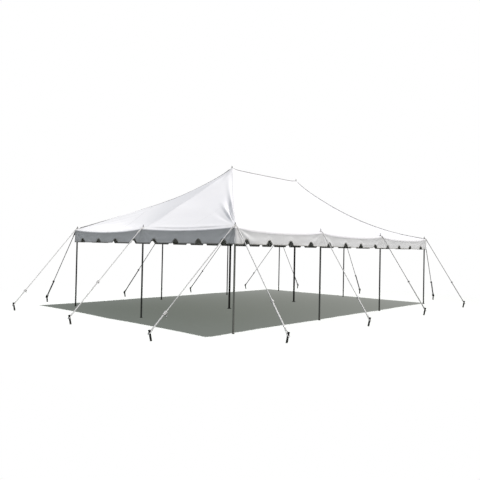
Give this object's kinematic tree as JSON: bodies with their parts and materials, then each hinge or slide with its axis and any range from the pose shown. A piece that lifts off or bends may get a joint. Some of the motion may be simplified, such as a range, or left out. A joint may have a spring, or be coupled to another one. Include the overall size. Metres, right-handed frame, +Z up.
{
  "type": "marquee tent",
  "caption": "White pole tent with two peaks, a scalloped valance all round, side poles, guy ropes and ground stakes.",
  "frame": {"origin": "on the ground, in the middle of the pole plan", "axes": "+X along the two centre poles, +Y from the front side to the back side, +Z up"},
  "size_m": [12.7829, 9.0255, 4.061],
  "materials": {
    "canopy": "white vinyl-coated cloth, satin",
    "valance": "white vinyl-coated cloth, satin",
    "centre_pole": "dark weathered steel tube",
    "side_pole": "dull galvanised tube",
    "rope": "white laid rope",
    "stake": "black forged iron"
  },
  "bodies": {
    "root": {"canopy_slope_front": "canopy", "canopy_slope_back": "canopy", "canopy_slope_left": "canopy", "canopy_slope_right": "canopy", "valance_front": "valance", "valance_back": "valance", "valance_left": "valance", "valance_right": "valance", "centre_pole_left": "centre_pole", "centre_pole_right": "centre_pole", "corner_pole_front_left": "side_pole", "corner_pole_front_right": "side_pole", "corner_pole_back_left": "side_pole", "corner_pole_back_right": "side_pole", "side_pole_front_left": "side_pole", "side_pole_front_right": "side_pole", "side_pole_back_left": "side_pole", "side_pole_back_right": "side_pole", "end_pole_left": "side_pole", "end_pole_right": "side_pole", "guy_rope_corner_front_left_end": "rope", "guy_rope_corner_front_left": "rope", "guy_rope_front_left": "rope", "guy_rope_front_right": "rope", "guy_rope_corner_front_right": "rope", "guy_rope_corner_front_right_end": "rope", "guy_rope_end_right": "rope", "guy_rope_corner_back_right_end": "rope", "guy_rope_corner_back_right": "rope", "guy_rope_back_right": "rope", "guy_rope_back_left": "rope", "guy_rope_corner_back_left": "rope", "guy_rope_corner_back_left_end": "rope", "guy_rope_end_left": "rope", "stake_corner_front_left_end": "stake", "stake_corner_front_left": "stake", "stake_front_left": "stake", "stake_front_right": "stake", "stake_corner_front_right": "stake", "stake_corner_front_right_end": "stake", "stake_end_right": "stake", "stake_corner_back_right_end": "stake", "stake_corner_back_right": "stake", "stake_back_right": "stake", "stake_back_left": "stake", "stake_corner_back_left": "stake", "stake_corner_back_left_end": "stake", "stake_end_left": "stake"}
  },
  "joints": []
}
